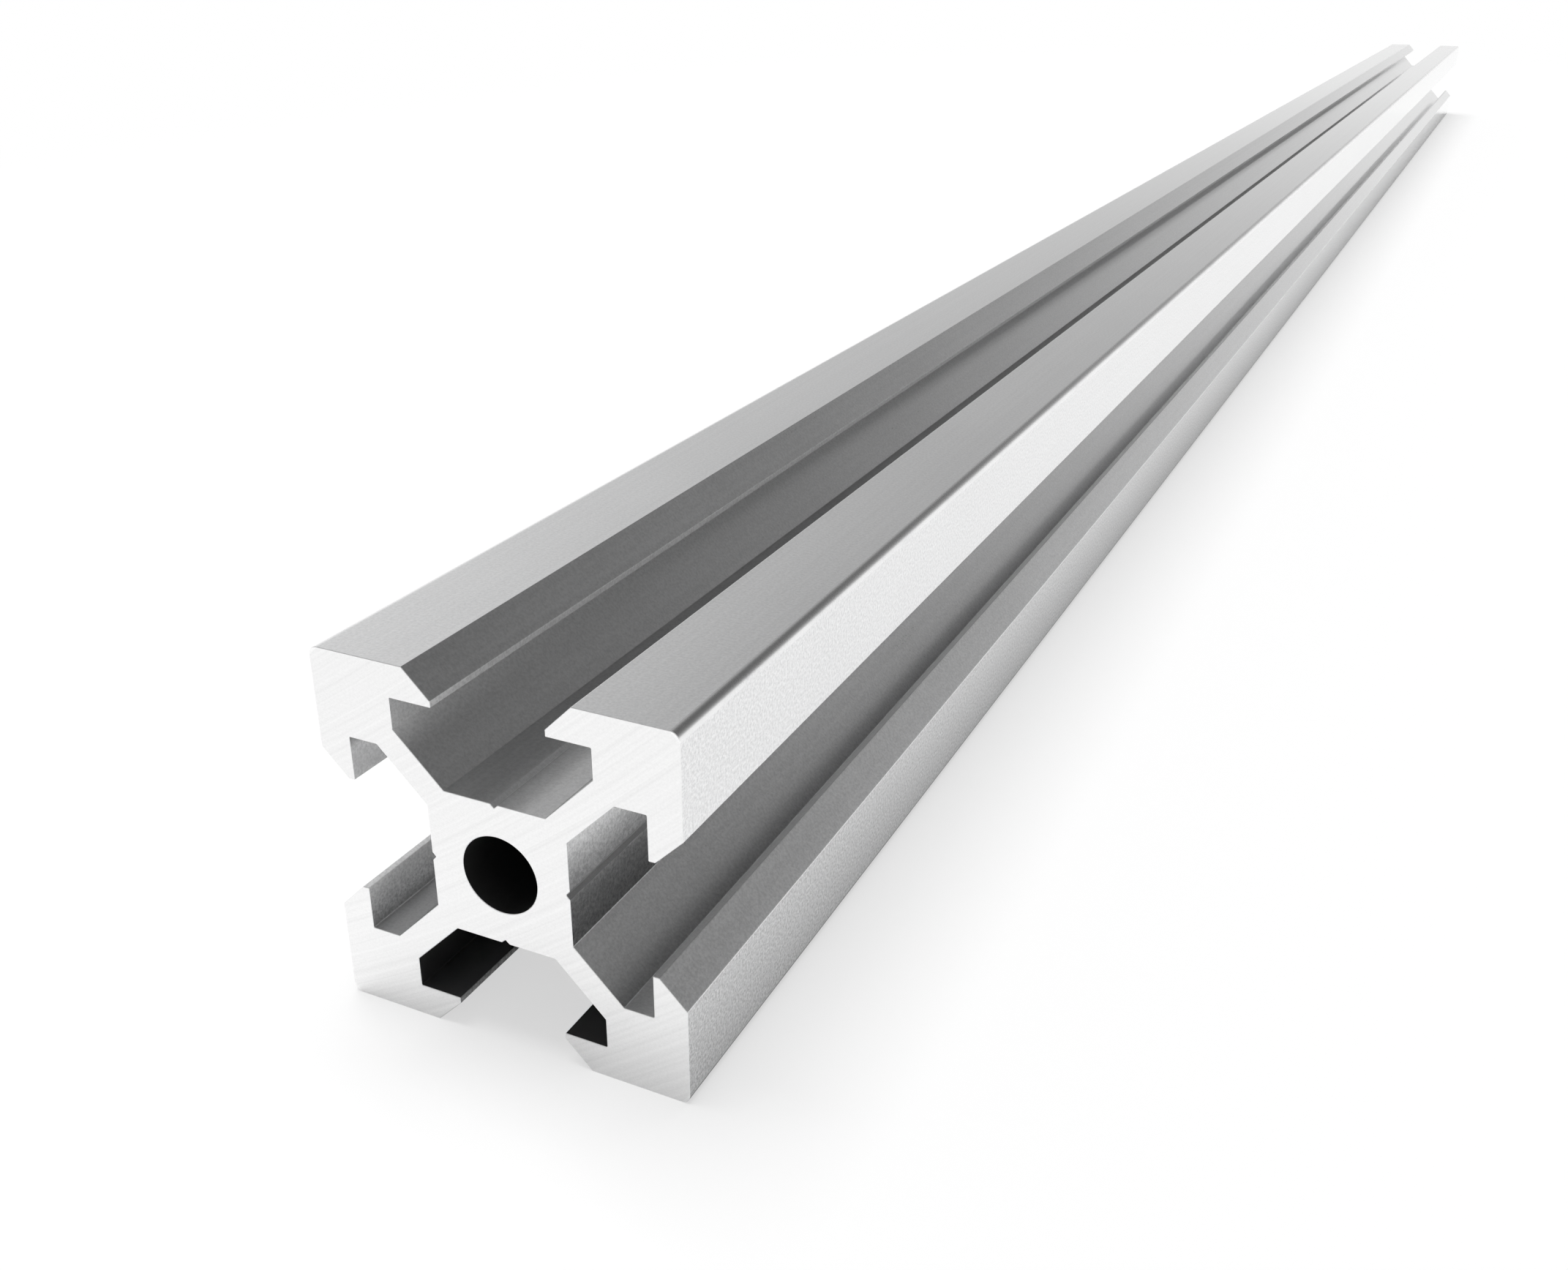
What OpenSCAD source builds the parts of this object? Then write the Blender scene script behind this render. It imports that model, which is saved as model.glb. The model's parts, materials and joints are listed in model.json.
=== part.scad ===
// Square aluminium extrusion bar with a V-mouthed T slot along each of its four sides
// and a plain bore through its core. The bar lies along Y on one of its sides:
// the origin is the centre of its underside, X is across the bar and Z is up.
// All sizes are in millimetres.

/* [Bar] */
// Length that the bar is cut to
bar_length = 500; // [50:1:3000]
// Width and height of the square section
side = 20; // [18:0.5:30]
// Radius of the four outer corners
corner_radius = 0.5; // [0.1:0.05:2]

/* [Slot] */
// Width of the V groove where it meets the outer face
mouth_width = 9.16; // [7.5:0.02:9.8]
// Angle between the two flanks of the V groove
groove_angle = 90; // [80:1:110]
// Width of the throat between the two lips
throat_width = 6.25; // [5.7:0.05:7.5]
// Thickness of the lips, from the outer face to the channel behind them
lip_thickness = 1.8; // [1.5:0.05:3]
// Width of the channel behind the lips
channel_width = 11; // [8:0.1:13]
// Depth of the slot's floor below the outer face
slot_depth = 6.1; // [5:0.05:7]

/* [Core] */
// Thickness of the four diagonal webs that join the core to the corners
web_thickness = 1.5; // [0.8:0.05:2.5]
// Diameter of the bore, which is the tapping size of an M5 screw
bore_d = 4.2; // [3.3:0.1:5]

/* [Drill guide] */
// Width of the fine groove along the middle of each slot's floor
guide_width = 0.45; // [0.1:0.05:1]
// Depth of that groove below the floor
guide_depth = 0.2; // [0.1:0.05:0.5]

/* [Hidden] */
// Finish of the bar: natural anodised aluminium
aluminium = [0.79, 0.80, 0.81];
// Fineness of the rounded corners and the bore
$fn = 64;
// How far a cut runs past the face that it opens
overcut = 1;
// Slots round the section
slot_count = 4;
// Distance from the middle of the section to an outer face, and to a slot's floor
face = side / 2;
floor_level = face - slot_depth;
// Depth of the V groove, from the outer face to the throat
groove_depth = (mouth_width - throat_width) / 2 / tan(groove_angle / 2);
// How far a web's side lies from the section's diagonal, measured square to an outer face
web_offset = web_thickness / sqrt(2);

// Square with rounded corners, centred on the origin
module rounded_square(size, radius) {
    square([size, size - 2 * radius], center = true);
    square([size - 2 * radius, size], center = true);
    for (x = [-1, 1], y = [-1, 1])
        translate([x, y] * (size / 2 - radius)) circle(r = radius);
}

// Outline that is the same on both sides of the slot's middle, from the points of its right half
module symmetric(right_half) {
    left_half = [for (i = [len(right_half) - 1 : -1 : 0]) [-right_half[i].x, right_half[i].y]];
    polygon(concat(right_half, left_half));
}

// V groove at the mouth of a slot, with its flanks carried on past the outer face
module groove() {
    symmetric([
        [mouth_width / 2 + overcut * tan(groove_angle / 2), face + overcut],
        [throat_width / 2, face - groove_depth],
    ]);
}

// Straight throat between the lips, from the V groove into the channel
module throat() {
    translate([-throat_width / 2, face - lip_thickness - overcut])
        square([throat_width, lip_thickness + overcut]);
}

// Channel behind the lips: side walls, webs and floor
module channel() {
    symmetric([
        [channel_width / 2, face - lip_thickness],
        [channel_width / 2, channel_width / 2 + web_offset],
        [floor_level - web_offset, floor_level],
    ]);
}

// Drill guide in the middle of the floor, with its flanks carried on up into the channel
module drill_guide() {
    slope = guide_width / 2 / guide_depth;
    polygon([
        [0, floor_level - guide_depth],
        [slope * (guide_depth + overcut), floor_level + overcut],
        [-slope * (guide_depth + overcut), floor_level + overcut],
    ]);
}

// Outline of one slot, which opens upwards
module slot_outline() {
    groove();
    throat();
    channel();
    drill_guide();
}

// The die's section: four slots and the bore cut from the rounded square
module section() {
    difference() {
        rounded_square(side, corner_radius);
        for (i = [0 : slot_count - 1]) rotate(i * 360 / slot_count) slot_outline();
        circle(d = bore_d);
    }
}

// The whole bar, extruded along Y and cut square at both ends
module profile() {
    color(aluminium)
        translate([0, bar_length / 2, face])
            rotate([90, 0, 0])
                linear_extrude(bar_length) section();
}

profile();
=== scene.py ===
# %% [markdown]
# # A slotted aluminium bar, dressed in Blender
#
# The real object is one piece of stock: an aluminium bar that was pushed through a die, anodised,
# and then sawn to length. Its solid model comes ready in model.glb. This lesson loads that model as a fixed
# frame, builds a finer mesh of the same bar around it, gives the mesh the finish of the real metal,
# and sets up a small white studio with a camera where the photographer stood.

# %% Load the imported bar as a fixed frame
import json
import math
from collections import namedtuple

import bmesh
import bpy
from mathutils import Matrix, Vector


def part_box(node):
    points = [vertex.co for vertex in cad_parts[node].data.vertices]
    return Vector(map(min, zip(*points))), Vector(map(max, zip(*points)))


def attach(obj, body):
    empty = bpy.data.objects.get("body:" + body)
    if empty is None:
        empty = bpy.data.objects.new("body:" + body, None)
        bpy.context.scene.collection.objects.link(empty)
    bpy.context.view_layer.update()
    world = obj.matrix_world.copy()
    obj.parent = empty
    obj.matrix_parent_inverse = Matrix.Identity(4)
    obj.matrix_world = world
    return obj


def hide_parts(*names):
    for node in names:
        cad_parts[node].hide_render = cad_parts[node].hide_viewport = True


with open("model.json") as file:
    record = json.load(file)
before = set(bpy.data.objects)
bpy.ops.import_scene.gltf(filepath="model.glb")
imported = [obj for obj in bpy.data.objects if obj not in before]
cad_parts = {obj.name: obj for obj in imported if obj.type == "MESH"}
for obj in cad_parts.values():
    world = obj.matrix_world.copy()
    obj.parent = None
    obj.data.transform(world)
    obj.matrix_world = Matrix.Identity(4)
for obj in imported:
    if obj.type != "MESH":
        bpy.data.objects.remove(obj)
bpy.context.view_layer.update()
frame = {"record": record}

scene = bpy.context.scene

# %% [markdown]
# ## The sizes that shape the bar
#
# Blender works in metres, and a maker of extrusions works in millimetres, so one small value turns
# the one into the other. The outside of the bar and its bore are read from the frame, so they can't
# drift away from the solid. The slot's own sizes are the ones on the drawing of such a bar.

# %% Read the outside and the bore from the frame, and name the slot's sizes
MM = 0.001
box_low, box_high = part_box("profile")
side = box_high.x - box_low.x
length = box_high.y - box_low.y
face = side / 2
bar_centre = (box_low + box_high) / 2
bore_mount = next(m for m in frame["record"]["mounts"] if m["name"] == "bore")
bore_radius = bore_mount["dims"]["r_mm"] * MM

mouth_width = 9.16 * MM
throat_width = 6.25 * MM
lip_thickness = 1.8 * MM
channel_width = 11 * MM
slot_depth = 6.1 * MM
web_thickness = 1.5 * MM
guide_width = 0.45 * MM
guide_depth = 0.2 * MM
print(f"side {side / MM:.2f} mm, length {length / MM:.1f} mm, bore {2 * bore_radius / MM:.2f} mm")

# %% [markdown]
# ## The camera
#
# The photograph was taken from very close: the near end is only about 75 mm away, which is why the bar
# seems to shrink so fast. A camera's place, turn and lens can be worked out from corners whose real
# places are known, and the values below come from such a fit. The camera is turned in three steps that
# can be read off: swing to the side, tilt down, and a trace of roll.

# %% Set up the camera
image_width_px = 2143
focal_length_px = 2078.1
sensor_width_mm = 36
camera_place = Vector((37.99, -298.95, 50.43)) * MM
swing_left = math.radians(25.345)
tilt_down = math.radians(24.704)
roll = math.radians(0.274)

camera_data = bpy.data.cameras.new("photo_camera")
camera_data.sensor_width = sensor_width_mm
camera_data.lens = focal_length_px / image_width_px * sensor_width_mm
camera_data.clip_start = 1 * MM
camera = bpy.data.objects.new("photo_camera", camera_data)
scene.collection.objects.link(camera)
turn = Matrix.Rotation(swing_left, 4, "Z")
tilt = Matrix.Rotation(math.radians(90) - tilt_down, 4, "X")
camera.matrix_world = Matrix.Translation(camera_place) @ turn @ tilt @ Matrix.Rotation(roll, 4, "Z")
scene.camera = camera
print(f"camera: {camera_data.lens:.1f} mm lens, {camera_place.z / MM:.0f} mm above the floor")

# %% [markdown]
# ## The section
#
# The die gives the bar the same section all along, so the section is worth drawing well. It could be
# copied from the CAD mesh, but there its round corners are a few flat steps. Here half of one side of
# the section is a list of corners, each with a radius. The other half is its mirror image, and the other
# three sides are the same corners turned by a quarter. Real dies have no perfectly sharp corners, and
# a small radius is also what makes an edge catch the light.
#
# A corner also carries marks, like vertex paint. "Worn" is 1 on the outer edges, which handling polishes.
# The painted shading goes from 0 to 1 as painted shade darkens the metal, which also gets rougher, and
# from 0 to -1 as painted light makes it paler, and more matt. It has one value for the edge before the
# corner and one for the edge after it, so that it can change from one face to the next. The arc shade is
# more painted shade in the middle of the corner's own arc. A corner with no radius lies on a straight and
# only carries marks.

# %% Write the corners of one side as a function of its marks
unmarked, full_mark = 0.0, 1.0
outer_radius = 0.5 * MM
edge_radius = 0.04 * MM
inner_radius = 0.06 * MM
no_radius = 0.0
# Where the painted shading turns: along the lip from its tip, and down the web from under the lip
tip_share = 0.5
web_share = 0.4

groove_depth = (mouth_width - throat_width) / 2
floor_level = face - slot_depth
web_offset = web_thickness / math.sqrt(2)
lip_level = face - lip_thickness
tip_end = throat_width / 2 + tip_share * (channel_width - throat_width) / 2
wall_end = channel_width / 2 + web_offset
web_drop = web_share * (wall_end - floor_level)

# Of a corner's marks, the two shading values are painted shade above 0 and painted light below 0, and the
# last is painted shade along the arc
Corner = namedtuple(
    "Corner", "across up radius worn dull_before dull_after grime", defaults=[unmarked] * 4
)
Marks = namedtuple(
    "Marks", "land lip_tip lip_middle lip_root wall web floor guide grime", defaults=[unmarked] * 9
)


def half_side(marks):
    """The corners of the right half of one side, from the slot's mouth to its drill guide."""
    return [
        Corner(mouth_width / 2, face, edge_radius, worn=full_mark),
        Corner(throat_width / 2, face - groove_depth, edge_radius, dull_after=marks.land),
        Corner(throat_width / 2, lip_level, edge_radius, unmarked, marks.land, marks.lip_tip),
        Corner(tip_end, lip_level, no_radius, unmarked, marks.lip_middle, marks.lip_middle),
        Corner(channel_width / 2, lip_level, inner_radius, unmarked, marks.lip_root, marks.wall),
        Corner(channel_width / 2, wall_end, inner_radius, unmarked, marks.wall, marks.web),
        Corner(channel_width / 2 - web_drop, wall_end - web_drop, no_radius),
        Corner(floor_level - web_offset, floor_level, inner_radius, dull_after=marks.floor),
        # The drill guide's edge may carry painted shade along its arc too
        Corner(guide_width / 2, floor_level, edge_radius, dull_after=marks.guide, grime=marks.guide),
    ]


def one_side(right, left):
    """The corners of one side of the section, from its outer corner and round its slot."""
    mirrored = [
        c._replace(across=-c.across, dull_before=c.dull_after, dull_after=c.dull_before)
        for c in reversed(half_side(left))
    ]
    # The outer corner may carry a line of painted shade along its arc
    outer_corner = Corner(face, face, outer_radius, worn=full_mark, grime=right.grime)
    guide_bottom = Corner(0.0, floor_level - guide_depth, edge_radius, unmarked, right.guide, left.guide)
    return [outer_corner, *half_side(right), guide_bottom, *mirrored]


print("mouth edges of", edge_radius / MM, "mm and outer corners of", outer_radius / MM, "mm radius")

# %% [markdown]
# ## The painted shading of the four sides
#
# Light and shade inside the slots are painted onto the faces at and behind the lips, as painted light and
# painted shade. In the top slot the lands, the walls and the upper ends of the webs have painted light and
# are matt, and its floor has a little painted shade on the left and a little painted light on the right. In
# the left and right slots the lips go from painted light, or none, at the tip to painted shade at the root.
# The lower slot has painted shade wherever it can be seen, and a line of painted shade runs along the two
# lower corners.
# So each side gets painted shading of its own, and the top side one set for each half.

# %% Mark the four sides
# Each value is painted shade above 0 and painted light below 0; the last one is painted shade along the lower
# outer corner's arc
top_left = Marks(land=-1.0, lip_tip=0.15, lip_middle=0.15, lip_root=0.15, wall=-0.9, web=-1.0, floor=0.18)
top_right = top_left._replace(floor=-0.3)
left_side = Marks(land=-1.0, lip_tip=-1.0, lip_middle=-0.4, lip_root=0.6, wall=0.2, guide=0.8)
underside = Marks(lip_tip=1.0, lip_middle=1.0, lip_root=1.0, wall=1.0, guide=1.0, grime=1.0)
right_side = Marks(land=0.7, lip_middle=0.7, lip_root=1.0, wall=0.1, guide=0.8, grime=1.0)
halves = [(top_right, top_left), (left_side, left_side), (underside, underside), (right_side, right_side)]
sides = [one_side(right, left) for right, left in halves]
print(f"{len(sides)} sides of {len(sides[0])} corners each")

# %% [markdown]
# ## Rounding the corners
#
# A corner of radius r is an arc that touches both of its edges. A Bevel modifier could make it, but here
# each point of an arc also carries marks, so it is worked out in the open. Just outside each arc goes
# one more point, a holding point. Smooth shading blends normals between the points of a face, and the
# holding points keep that blend inside a strip thinner than a hair, so that the flat faces stay truly
# flat. The wear ends at the holding points.

# %% Round the corners into one closed outline
holding_gap = 0.02 * MM
arc_step = math.radians(9)
fewest_steps = 3
bore_steps = 96


def rounded_corner(before, point, after, corner):
    """The points of one rounded corner, each as (point, worn, painted shading)."""
    if corner.radius == no_radius:
        return [(point, corner.worn, corner.dull_before)]
    back = (before - point).normalized()
    ahead = (after - point).normalized()
    half_angle = back.angle(ahead) / 2
    reach = corner.radius / math.tan(half_angle)
    centre = point + (back + ahead).normalized() * corner.radius / math.sin(half_angle)
    start = point + back * reach - centre
    end = point + ahead * reach - centre
    swept = math.pi - 2 * half_angle
    steps = max(fewest_steps, round(swept / arc_step))
    arc = []
    for i in range(steps + 1):
        share = i / steps
        spoke = start * math.sin((1 - share) * swept) + end * math.sin(share * swept)
        dull = corner.dull_before + (corner.dull_after - corner.dull_before) * share
        # The arc's extra painted shade follows a parabola, 0 at both ends of the arc and 1 in its middle
        dull += corner.grime * 4 * share * (1 - share)
        arc.append((centre + spoke / math.sin(swept), corner.worn, dull))
    first = (point + back * (reach + holding_gap), unmarked, corner.dull_before)
    last = (point + ahead * (reach + holding_gap), unmarked, corner.dull_after)
    return [first, *arc, last]


corners = []
for quarter, side_corners in enumerate(sides):
    turned = Matrix.Rotation(math.radians(90) * quarter, 2)
    for corner in side_corners:
        corners.append((turned @ Vector((corner.across, corner.up)), corner))
outline = []
for i, (point, corner) in enumerate(corners):
    after = corners[(i + 1) % len(corners)][0]
    outline += rounded_corner(corners[i - 1][0], point, after, corner)

bore_angles = [-2 * math.pi * i / bore_steps for i in range(bore_steps)]
bore_points = [Vector((math.cos(a), math.sin(a))) * bore_radius for a in bore_angles]
# The whole bore is painted shade, at full strength
bore_outline = [(point, unmarked, full_mark) for point in bore_points]
print(f"outline of {len(outline)} points, bore of {len(bore_outline)} points")

# %% [markdown]
# ## The bar
#
# Blender could extrude a filled curve, but a mesh that is laid ring by ring gives full control. The
# rings run along the bar, and the last ring at each end is drawn in by the width of the edge break that
# a deburring tool leaves on a sawn end. The skin between the rings is anodised. The ends and their edge
# breaks were cut after anodising, so they get a second material.

# %% Build the bar ring by ring
edge_break = 0.025 * MM
ring_count = 41
ANODISED, SAWN = 0, 1


def mesh_object(name, mesh):
    """A new object in the scene with the faces of a bmesh, which is freed."""
    data = bpy.data.meshes.new(name)
    mesh.to_mesh(data)
    mesh.free()
    made = bpy.data.objects.new(name, data)
    scene.collection.objects.link(made)
    return made


def drawn_in(loop, distance):
    """The points of an outline, moved into the metal by a distance."""
    moved = []
    for i, (point, _, _) in enumerate(loop):
        ahead = (loop[(i + 1) % len(loop)][0] - point).normalized()
        back = (point - loop[i - 1][0]).normalized()
        inward = (Vector((-ahead.y, ahead.x)) + Vector((-back.y, back.x))).normalized()
        moved.append(point + inward * distance / math.sqrt((1 + ahead.dot(back)) / 2))
    return moved


def add_ring(mesh, loop, points, y):
    """One ring of vertices at a place along the bar."""
    ring = []
    for point, (_, worn, dull) in zip(points, loop):
        vertex = mesh.verts.new((bar_centre.x + point.x, y, bar_centre.z + point.y))
        vertex[worn_layer] = worn
        # The second mark is painted shading: painted shade above 0, painted light below 0
        vertex[painted_shading_layer] = dull
        ring.append(vertex)
    return ring


def add_skin(mesh, loop):
    """The long faces along one closed outline. Returns all of its rings."""
    full = [point for point, _, _ in loop]
    small = drawn_in(loop, edge_break)
    first, last = box_low.y + edge_break, box_high.y - edge_break
    rings = [add_ring(mesh, loop, small, box_low.y)]
    for i in range(ring_count):
        rings.append(add_ring(mesh, loop, full, first + (last - first) * i / (ring_count - 1)))
    rings.append(add_ring(mesh, loop, small, box_high.y))
    for i in range(len(rings) - 1):
        cut = i in (0, len(rings) - 2)
        for j in range(len(loop)):
            k = (j + 1) % len(loop)
            quad = mesh.faces.new((rings[i][j], rings[i][k], rings[i + 1][k], rings[i + 1][j]))
            quad.material_index = SAWN if cut else ANODISED
            quad.smooth = True
    return rings


def ring_edges(mesh, ring):
    """The edges between neighbouring vertices of a ring."""
    return [mesh.edges.get((ring[i - 1], ring[i])) for i in range(len(ring))]


bar_mesh = bmesh.new()
worn_layer = bar_mesh.verts.layers.float.new("worn")
# Painted shading per vertex: painted shade above 0, painted light below 0
painted_shading_layer = bar_mesh.verts.layers.float.new("dull")
outside = add_skin(bar_mesh, outline)
bore = add_skin(bar_mesh, bore_outline)
for end, next_to_end in ((0, 1), (-1, -2)):
    rim = ring_edges(bar_mesh, outside[end]) + ring_edges(bar_mesh, bore[end])
    filled = bmesh.ops.triangle_fill(bar_mesh, use_beauty=True, edges=rim)["geom"]
    for item in filled:
        if isinstance(item, bmesh.types.BMFace):
            item.material_index = SAWN
    break_edges = ring_edges(bar_mesh, outside[next_to_end]) + ring_edges(bar_mesh, bore[next_to_end])
    for edge in rim + break_edges:
        edge.smooth = False
bmesh.ops.recalc_face_normals(bar_mesh, faces=bar_mesh.faces)
open_edges = sum(1 for edge in bar_mesh.edges if not edge.is_manifold)
volume = bar_mesh.calc_volume()

bar = mesh_object("extrusion_bar", bar_mesh)
print(f"bar: {len(bar.data.polygons)} faces, {open_edges} open edges, {volume / MM ** 3:.0f} cubic mm")

# %% [markdown]
# ## Helpers for shader nodes
#
# A material is a tree of nodes. Written out in full each node takes five or six lines, so these helpers
# make a node, set its options, and fill its sockets: a value is set, and a socket is linked. A node
# group is placed in a material in the same way as any other node.

# %% Helpers that make nodes and node groups
noise_octaves = 3.0


def node(tree, kind, sockets=None, **options):
    """Makes one node. sockets maps an input's name or number to a value or to an output to link."""
    made = tree.nodes.new(kind)
    for option, value in options.items():
        setattr(made, option, value)
    for name, value in (sockets or {}).items():
        if isinstance(value, bpy.types.NodeSocket):
            tree.links.new(value, made.inputs[name])
        else:
            made.inputs[name].default_value = value
    return made


def math_node(tree, operation, first, second=0.0, clamp=False):
    """The output of one Math node."""
    made = node(tree, "ShaderNodeMath", {0: first, 1: second}, operation=operation, use_clamp=clamp)
    return made.outputs[0]


def weighted_sum(tree, start, terms):
    """The output of start plus each value times its weight."""
    total = start
    for value, weight in terms:
        total = math_node(tree, "ADD", math_node(tree, "MULTIPLY", value, weight), total)
    return total


def empty_tree(owner):
    """The node tree of a material or a world, with all of its nodes cleared."""
    owner.use_nodes = True
    owner.node_tree.nodes.clear()
    return owner.node_tree


def ray_kinds(tree):
    """Masks of the rays from the camera, of those that metal mirrors and of those that pass through glass."""
    rays = node(tree, "ShaderNodeLightPath").outputs
    return rays["Is Camera Ray"], rays["Is Glossy Ray"], rays["Is Transmission Ray"]


def new_group(name, inputs, outputs):
    """An empty shader node group with named float or vector inputs and float outputs."""
    group = bpy.data.node_groups.new(name, "ShaderNodeTree")
    for socket_name, socket_type in inputs:
        group.interface.new_socket(socket_name, in_out="INPUT", socket_type=socket_type)
    for socket_name in outputs:
        group.interface.new_socket(socket_name, in_out="OUTPUT", socket_type="NodeSocketFloat")
    return group, group.nodes.new("NodeGroupInput"), group.nodes.new("NodeGroupOutput")


def noise(tree, vector, scale, roughness):
    """The output of one Noise Texture node, which lies between 0 and 1."""
    sockets = {"Vector": vector, "Scale": scale, "Detail": noise_octaves, "Roughness": roughness}
    return node(tree, "ShaderNodeTexNoise", sockets).outputs["Fac"]


def map_range(tree, value, low, high, at_low=0.0, at_high=1.0, blend="LINEAR"):
    """The output of one Map Range node, which goes from at_low to at_high as value goes from low to high."""
    sockets = {"Value": value, "From Min": low, "From Max": high, "To Min": at_low, "To Max": at_high}
    return node(tree, "ShaderNodeMapRange", sockets, interpolation_type=blend).outputs["Result"]


print("node helpers are ready")

# %% [markdown]
# ## Satin grain
#
# Before anodising, the bar is etched in caustic soda, which leaves a fine, even grain that softens every
# reflection. A sawn face has a fine grain too, torn by the teeth. Both materials need it, so it is
# a node group: two layers of noise, one for the grain and one for slow drifts in its depth.

# %% Node group: satin grain
drifts_per_metre = 60.0
grain_group, given, result = new_group(
    "satin_grain",
    [("Vector", "NodeSocketVector"), ("Grains per metre", "NodeSocketFloat")],
    ["Grain", "Drift"],
)
fine = noise(grain_group, given.outputs["Vector"], given.outputs["Grains per metre"], roughness=0.7)
slow = noise(grain_group, given.outputs["Vector"], drifts_per_metre, roughness=0.55)
grain_group.links.new(fine, result.inputs["Grain"])
grain_group.links.new(slow, result.inputs["Drift"])
print("group:", grain_group.name)

# %% [markdown]
# ## Tool marks
#
# The die drags fine lines along the bar, and the saw leaves fine arcs across its ends. Both are noise
# that is stretched along the tool's path: many cycles across the marks, few along them. The group takes
# coordinates that are already stretched, so each material decides which way its tool went.

# %% Node group: tool marks
noise_middle = 0.5
marks_group, given, result = new_group(
    "tool_marks",
    [("Stretched vector", "NodeSocketVector"), ("Sharpness", "NodeSocketFloat")],
    ["Marks"],
)
streaks = noise(marks_group, given.outputs["Stretched vector"], scale=1.0, roughness=0.65)
centred = math_node(marks_group, "SUBTRACT", streaks, noise_middle)
sharpened = math_node(marks_group, "MULTIPLY", centred, given.outputs["Sharpness"])
streak_marks = math_node(marks_group, "ADD", sharpened, noise_middle, clamp=True)
marks_group.links.new(streak_marks, result.inputs["Marks"])
print("group:", marks_group.name)

# %% [markdown]
# ## Burnished edges
#
# Edges rub against benches, boxes and other bars, so they end up a little brighter and smoother than the
# faces. The mesh carries that as its "worn" attribute. The group breaks it up with noise, because
# real wear comes in patches.

# %% Node group: burnished edges
wear_from, wear_full = 0.2, 0.6
edge_group, given, result = new_group(
    "burnished_edges",
    [("Vector", "NodeSocketVector"), ("Patches per metre", "NodeSocketFloat")],
    ["Wear", "Edge"],
)
worn_mark = node(edge_group, "ShaderNodeAttribute", attribute_name="worn").outputs["Fac"]
patches = noise(edge_group, given.outputs["Vector"], given.outputs["Patches per metre"], roughness=0.5)
patchy = map_range(edge_group, patches, wear_from, wear_full)
wear = math_node(edge_group, "MULTIPLY", worn_mark, patchy)
edge_group.links.new(wear, result.inputs["Wear"])
edge_group.links.new(worn_mark, result.inputs["Edge"])
print("group:", edge_group.name)

# %% [markdown]
# ## Helpers for the two finishes
#
# Both finishes start from an empty Principled BSDF, place the groups above with their own values, and mix
# greys by masks. These helpers keep the cells that follow down to what is special about each finish.

# %% Helpers that start a material and mix its greys
# The Mix node has sockets for each kind of value, and these are the numbers of its colour sockets
COLOUR_A, COLOUR_B, COLOUR_OUT = 6, 7, 2


def new_material(name):
    """An empty material with a Principled BSDF. Returns the material, its tree and the shader."""
    material = bpy.data.materials.new(name)
    tree = empty_tree(material)
    shader = node(tree, "ShaderNodeBsdfPrincipled")
    node(tree, "ShaderNodeOutputMaterial", {"Surface": shader.outputs["BSDF"]})
    return material, tree, shader


def two_tone(tree, mask, dark_at, dark, light_at, light):
    """A colour ramp between two greys."""
    ramp = node(tree, "ShaderNodeValToRGB", {"Fac": mask})
    low, high = ramp.color_ramp.elements
    low.position, low.color = dark_at, dark
    high.position, high.color = light_at, light
    return ramp.outputs["Color"]


def mixed_colour(tree, share, under, over):
    """A colour that goes from under to over as share goes from 0 to 1."""
    sockets = {"Factor": share, COLOUR_A: under, COLOUR_B: over}
    return node(tree, "ShaderNodeMix", sockets, data_type="RGBA").outputs[COLOUR_OUT]


def vector_math(tree, operation, first, second):
    """The vector output of one Vector Math node."""
    made = node(tree, "ShaderNodeVectorMath", {0: first, 1: second}, operation=operation)
    return made.outputs["Vector"]


def placed(tree, group, sockets):
    """The outputs of a node group that is placed in a material with its own values."""
    return node(tree, "ShaderNodeGroup", sockets, node_tree=group).outputs


print("material helpers are ready")

# %% [markdown]
# ## Anodised aluminium: the patterns
#
# Natural anodising is a clear, glassy skin over etched metal: silver grey, satin, with no colour of its
# own. Three patterns lie on it: the satin grain, the die lines along the bar, and the burnished edges. An
# image could carry them, but noise in the bar's own coordinates stays sharp at any distance and needs no
# unwrapping. The painted shading on the faces comes in here too, as two masks: above 0 it is painted shade,
# which also makes the metal rougher, and below 0 it is painted light, which also makes it matt.

# %% Anodised aluminium: place the patterns
die_lines_per_metre = (2600.0, 14.0, 2600.0)
die_line_sharpness = 1.6
satin_grains_per_metre = 6000.0
long_edge_patches_per_metre = 350.0

anodised, tree, shader = new_material("satin_anodised")
coordinates = node(tree, "ShaderNodeTexCoord")
place = coordinates.outputs["Object"]
stretched = vector_math(tree, "MULTIPLY", place, die_lines_per_metre)
satin = placed(tree, grain_group, {"Vector": place, "Grains per metre": satin_grains_per_metre})
die = placed(tree, marks_group, {"Stretched vector": stretched, "Sharpness": die_line_sharpness})
burnish = placed(tree, edge_group, {"Vector": place, "Patches per metre": long_edge_patches_per_metre})
grain, drift, die_lines = satin["Grain"], satin["Drift"], die["Marks"]
wear, worn_edge = burnish["Wear"], burnish["Edge"]
# The attribute is painted shade above 0 and painted light below 0
painted_shading_mark = node(tree, "ShaderNodeAttribute", attribute_name="dull").outputs["Fac"]
painted_shade_mask = math_node(tree, "MAXIMUM", painted_shading_mark, 0.0)
painted_light_mask = math_node(tree, "MAXIMUM", math_node(tree, "MULTIPLY", painted_shading_mark, -1.0), 0.0)
print("patterns of", anodised.name, "placed")

# %% [markdown]
# ## Anodised aluminium: the colour
#
# A metal has no diffuse colour, so its base colour is how much light it sends back. The grain shows most
# on the two sides of the bar, and more so low down, where fewer hands have smoothed it. The direction of
# a face tells them apart: the X of its normal is 1 or -1 on the sides and 0 on top.

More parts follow.
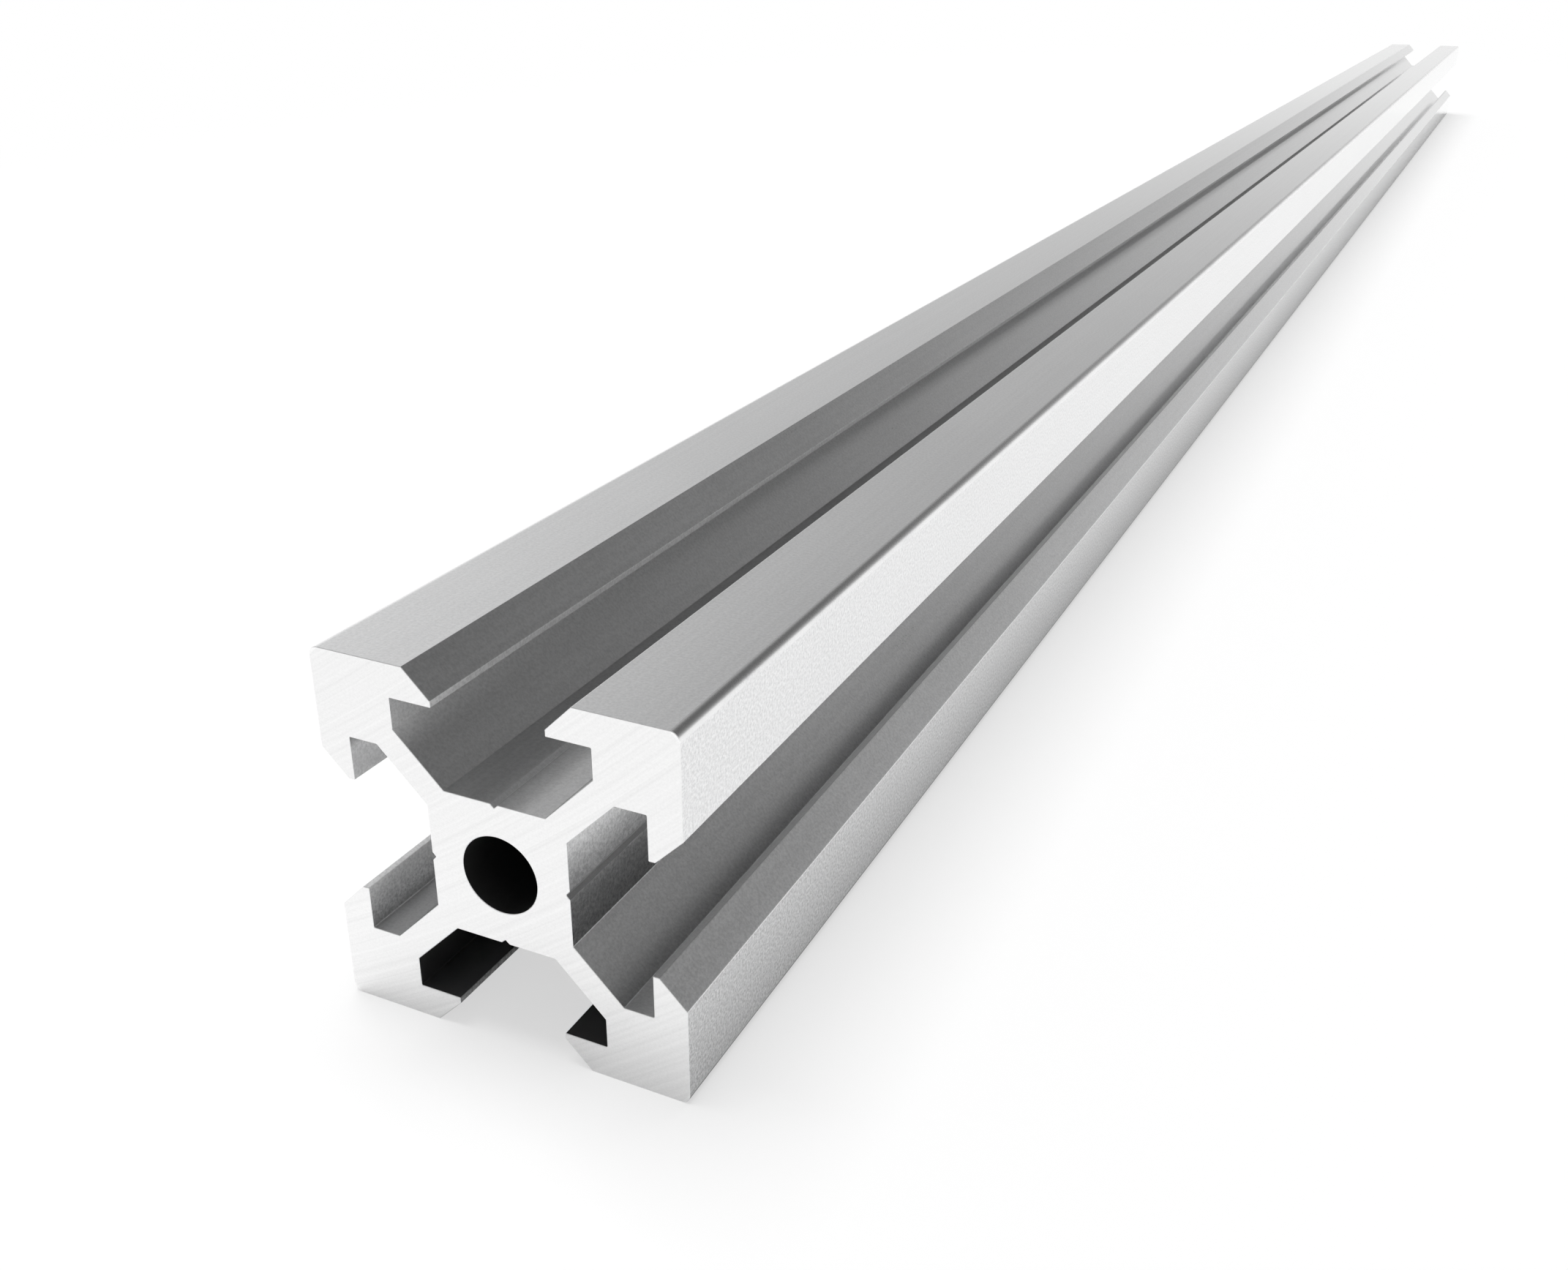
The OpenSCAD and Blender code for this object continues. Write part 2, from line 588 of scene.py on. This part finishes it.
# %% Anodised aluminium: mix the colour
darker_metal = (0.71, 0.712, 0.716, 1)
lighter_metal = (0.88, 0.882, 0.886, 1)
darker_side = (0.54, 0.542, 0.546, 1)
lighter_side = (0.98, 0.982, 0.986, 1)
worn_metal = (0.86, 0.86, 0.86, 1)
# Painted light: pale greys on the faces that are painted paler
darker_painted_light = (0.86, 0.86, 0.86, 1)
lighter_painted_light = (1.0, 1.0, 1.0, 1)
# Painted shade: a dark grey on the faces that are painted darker
painted_shade_grey = (0.15, 0.15, 0.15, 1)
side_focus = 6.0
low_level, high_level = 0.3 * side, 0.7 * side
side_share_high_up = 0.4

sideways = node(tree, "ShaderNodeSeparateXYZ", {0: coordinates.outputs["Normal"]}).outputs["X"]
on_sides = math_node(tree, "POWER", math_node(tree, "ABSOLUTE", sideways), side_focus)
height = node(tree, "ShaderNodeSeparateXYZ", {0: place}).outputs["Z"]
low_down = map_range(tree, height, low_level, high_level, at_low=1.0, at_high=side_share_high_up)
rough_sides = math_node(tree, "MULTIPLY", on_sides, low_down)

tone = weighted_sum(tree, 0.0, [(grain, 0.65), (drift, 0.2), (die_lines, 0.15)])
metal = two_tone(tree, tone, dark_at=0.38, dark=darker_metal, light_at=0.62, light=lighter_metal)
side_metal = two_tone(tree, grain, dark_at=0.36, dark=darker_side, light_at=0.64, light=lighter_side)
metal = mixed_colour(tree, rough_sides, metal, side_metal)
painted_light_metal = two_tone(tree, grain, dark_at=0.36, dark=darker_painted_light, light_at=0.58, light=lighter_painted_light)
metal = mixed_colour(tree, wear, metal, worn_metal)
# Painted light turns faces paler, and painted shade turns them dark
metal = mixed_colour(tree, painted_light_mask, metal, painted_light_metal)
metal = mixed_colour(tree, painted_shade_mask, metal, painted_shade_grey)
tree.links.new(metal, shader.inputs["Base Color"])
print("greys from", darker_side[0], "to", lighter_side[0], "on the sides, and", painted_shade_grey[0], "where dull")

# %% [markdown]
# ## Anodised aluminium: the gloss
#
# Roughness decides how blurred a reflection is, and here it follows the grain, the die lines, the worn
# edges and the marked faces. The glassy skin is the shader's clear coat: seen along the bar it mirrors the
# bright horizon, which is why the far end of the bar looks almost white.

# %% Anodised aluminium: roughness, relief and coat
satin_roughness = 0.22
coat_roughness = 0.08
satin_relief_share = 0.5
satin_relief_depth = 0.01 * MM

pattern_roughness = weighted_sum(
    tree, satin_roughness, [(grain, 0.06), (drift, 0.06), (die_lines, 0.05)]
)
# Faces with painted shade or painted light are also made rougher
roughness = weighted_sum(tree, pattern_roughness, [(wear, -0.04), (painted_shade_mask, 0.15), (painted_light_mask, 0.4)])
tree.links.new(roughness, shader.inputs["Roughness"])
relief = weighted_sum(tree, 0.0, [(grain, 0.6), (die_lines, 0.4)])
kept_relief = math_node(tree, "MULTIPLY", relief, math_node(tree, "SUBTRACT", 1.0, worn_edge))
bump_sockets = {"Height": kept_relief, "Strength": satin_relief_share, "Distance": satin_relief_depth}
bump = node(tree, "ShaderNodeBump", bump_sockets)
tree.links.new(bump.outputs["Normal"], shader.inputs["Normal"])
shader.inputs["Metallic"].default_value = 1.0
shader.inputs["Coat Weight"].default_value = 1.0
shader.inputs["Coat Roughness"].default_value = coat_roughness
print("material:", anodised.name)

# %% [markdown]
# ## Sawn aluminium
#
# The ends were cut with a round saw after anodising, so they are bare: brighter than the long faces, with
# fine arcs from the teeth. The arcs share one centre, the saw's axle, which stood well to one side of the
# bar. Their coordinate is therefore the distance from that axle.

# %% Material: sawn aluminium
saw_axle = Vector((-60 * MM, 0, 95 * MM))
arcs_per_metre = 3200.0
arc_sharpness = 1.8
torn_grains_per_metre = 8000.0
end_edge_patches_per_metre = 500.0
across_the_end = (1.0, 0.0, 1.0)
darker_cut = (0.82, 0.82, 0.82, 1)
lighter_cut = (0.98, 0.98, 0.98, 1)
cut_roughness = 0.26
cut_relief_share = 0.4
cut_relief_depth = 0.008 * MM

sawn, tree, shader = new_material("bare_sawn")
place = node(tree, "ShaderNodeTexCoord").outputs["Object"]
from_axle = vector_math(tree, "MULTIPLY", vector_math(tree, "SUBTRACT", place, saw_axle), across_the_end)
radius = node(tree, "ShaderNodeVectorMath", {0: from_axle}, operation="LENGTH").outputs["Value"]
arc_count = math_node(tree, "MULTIPLY", radius, arcs_per_metre)
stretched = node(tree, "ShaderNodeCombineXYZ", {"X": arc_count}).outputs["Vector"]
torn = placed(tree, grain_group, {"Vector": place, "Grains per metre": torn_grains_per_metre})
saw = placed(tree, marks_group, {"Stretched vector": stretched, "Sharpness": arc_sharpness})
burnish = placed(tree, edge_group, {"Vector": place, "Patches per metre": end_edge_patches_per_metre})
grain, drift, saw_arcs, wear = torn["Grain"], torn["Drift"], saw["Marks"], burnish["Wear"]

tone = weighted_sum(tree, 0.0, [(grain, 0.45), (saw_arcs, 0.35), (wear, 0.2)])
cut_metal = two_tone(tree, tone, dark_at=0.22, dark=darker_cut, light_at=0.6, light=lighter_cut)
tree.links.new(cut_metal, shader.inputs["Base Color"])
roughness = weighted_sum(tree, cut_roughness, [(grain, 0.06), (drift, 0.06), (saw_arcs, 0.08)])
tree.links.new(roughness, shader.inputs["Roughness"])
relief = weighted_sum(tree, 0.0, [(grain, 0.5), (saw_arcs, 0.5)])
bump_sockets = {"Height": relief, "Strength": cut_relief_share, "Distance": cut_relief_depth}
bump = node(tree, "ShaderNodeBump", bump_sockets)
tree.links.new(bump.outputs["Normal"], shader.inputs["Normal"])
shader.inputs["Metallic"].default_value = 1.0
print("material:", sawn.name)

# %% [markdown]
# ## Dress the bar
#
# The mesh gets its two materials in the order that its faces name them. It then rides on the frame's only
# body and takes the place of the plain solid in the picture.

# %% Give the bar its materials and its place in the frame
bar.data.materials.append(anodised)
bar.data.materials.append(sawn)
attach(bar, "root")
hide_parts("profile")

# %% [markdown]
# ## The white table
#
# The bar lies on a white table that runs on for ever. Close to the bar the table is an ordinary
# diffuse white that takes the bar's soft shadow. For the camera it is lifted more than half-way to plain
# white, so that the shadow stays faint. Further out it turns into plain white light of strength 1, for
# the camera and for reflections alike, so it has no edge and no dark corner.

# %% Floor
floor_half = 20.0
clear_from = 0.05
white_from = 0.32
shadow_lift = 0.6
table_colour = (0.8, 0.8, 0.8, 1)
WHITE = (1, 1, 1, 1)

floor_mesh = bmesh.new()
bmesh.ops.create_grid(floor_mesh, x_segments=1, y_segments=1, size=floor_half)
floor = mesh_object("white_table", floor_mesh)
floor.location.z = box_low.z

table_white = bpy.data.materials.new("table_white")
tree = empty_tree(table_white)
axes = node(tree, "ShaderNodeSeparateXYZ", {0: node(tree, "ShaderNodeTexCoord").outputs["Object"]})
past_end = math_node(tree, "SUBTRACT", math_node(tree, "ABSOLUTE", axes.outputs["Y"]), box_high.y)
beyond = math_node(tree, "MAXIMUM", past_end, 0.0)
from_bar = node(tree, "ShaderNodeCombineXYZ", {"X": axes.outputs["X"], "Y": beyond}).outputs["Vector"]
distance = node(tree, "ShaderNodeVectorMath", {0: from_bar}, operation="LENGTH").outputs["Value"]
far = map_range(tree, distance, clear_from, white_from, blend="SMOOTHSTEP")
by_camera, by_metal, by_glass = ray_kinds(tree)
seen = math_node(tree, "ADD", by_camera, math_node(tree, "ADD", by_metal, by_glass), clamp=True)
lift = math_node(tree, "MULTIPLY", by_camera, shadow_lift)
white_share = math_node(tree, "MAXIMUM", math_node(tree, "MULTIPLY", far, seen), lift)
matt_white = node(tree, "ShaderNodeBsdfDiffuse", {"Color": table_colour}).outputs["BSDF"]
plain_white = node(tree, "ShaderNodeEmission", {"Color": WHITE, "Strength": 1.0}).outputs["Emission"]
mixed = node(tree, "ShaderNodeMixShader", {0: white_share, 1: matt_white, 2: plain_white})
node(tree, "ShaderNodeOutputMaterial", {"Surface": mixed.outputs["Shader"]})
floor.data.materials.append(table_white)
print("floor: white beyond", white_from, "m")

# %% [markdown]
# ## The studio round the bar
#
# Metal shows its surroundings more than itself. The photograph's bar mirrors a white horizon that fades
# into a dim room above, with a soft light on the left. The world is made of just that: white near the
# horizon, a share of it that falls off with height, and a broad glow on the left of the dim room. Two parts
# that the photograph can't show, a pale wall behind the camera and a soft ceiling, keep the bar lively
# from its other sides. The camera itself only ever sees white. The world is lit by plain
# bounces, because Cycles' own sampling of the world doesn't know which kind of ray is asking.

# %% World
room_level = 0.08
glow_level = 1.4
glow_focus = 1.6
behind_level = 0.26
ceiling_level = 0.5
white_reach = 1.6
white_height = 0.165
# Spans of a ray's direction, as the Y or Z of a vector of length 1
behind_until, ahead_from = -0.3, 0.5
ceiling_from, ceiling_full = 0.75, 0.97
# The numbers of the Mix node's sockets for plain values
VALUE_A, VALUE_B = 2, 3

world = bpy.data.worlds.new("white_studio")
tree = empty_tree(world)
ray = node(tree, "ShaderNodeSeparateXYZ", {0: node(tree, "ShaderNodeTexCoord").outputs["Generated"]})
height = math_node(tree, "MAXIMUM", ray.outputs["Z"], 0.0)
leftness = math_node(tree, "MAXIMUM", math_node(tree, "MULTIPLY", ray.outputs["X"], -1.0), 0.0)
ahead = map_range(tree, ray.outputs["Y"], behind_until, ahead_from, blend="SMOOTHSTEP")
glow = math_node(tree, "MULTIPLY", math_node(tree, "POWER", leftness, glow_focus), ahead)
behind = math_node(tree, "SUBTRACT", 1.0, ahead)
ceiling = map_range(tree, height, ceiling_from, ceiling_full, blend="SMOOTHSTEP")
room = weighted_sum(
    tree, room_level, [(glow, glow_level), (behind, behind_level), (ceiling, ceiling_level)]
)
fade = math_node(tree, "EXPONENT", math_node(tree, "DIVIDE", height, -white_height))
horizon = math_node(tree, "MULTIPLY", fade, white_reach, clamp=True)
by_camera, by_metal, by_glass = ray_kinds(tree)
white_share = weighted_sum(tree, by_camera, [(by_glass, 1.0), (by_metal, horizon)])
shown = node(tree, "ShaderNodeMix", {"Factor": white_share, VALUE_A: room, VALUE_B: 1.0}).outputs[0]
background = node(tree, "ShaderNodeBackground", {"Color": WHITE, "Strength": shown})
node(tree, "ShaderNodeOutputWorld", {"Surface": background.outputs["Background"]})
world.cycles.sampling_method = "NONE"
scene.world = world
print("world:", world.name)

# %% [markdown]
# ## The ceiling lamp
#
# The world alone would leave the table grey. One large soft lamp overhead brings it up to white and gives
# the bar its faint shadow. Metal would mirror the lamp as a hard white patch, so the lamp is
# hidden from glossy rays and lights only the table. The Standard view then shows each colour as it is
# written, with no film curve over it.

# %% Lamp and view
lamp_side = 1.8
lamp_watts = 88.0
lamp_place = Vector((-0.48, 0.05, 3.0))
lamp_data = bpy.data.lights.new("ceiling_softbox", "AREA")
lamp_data.shape = "SQUARE"
lamp_data.size = lamp_side
lamp_data.energy = lamp_watts
lamp = bpy.data.objects.new("ceiling_softbox", lamp_data)
lamp.location = lamp_place
lamp.rotation_euler = lamp_place.to_track_quat("Z", "Y").to_euler()
lamp.visible_glossy = False
scene.collection.objects.link(lamp)
scene.view_settings.view_transform = "Standard"
print("lamp:", lamp_data.energy, "W")
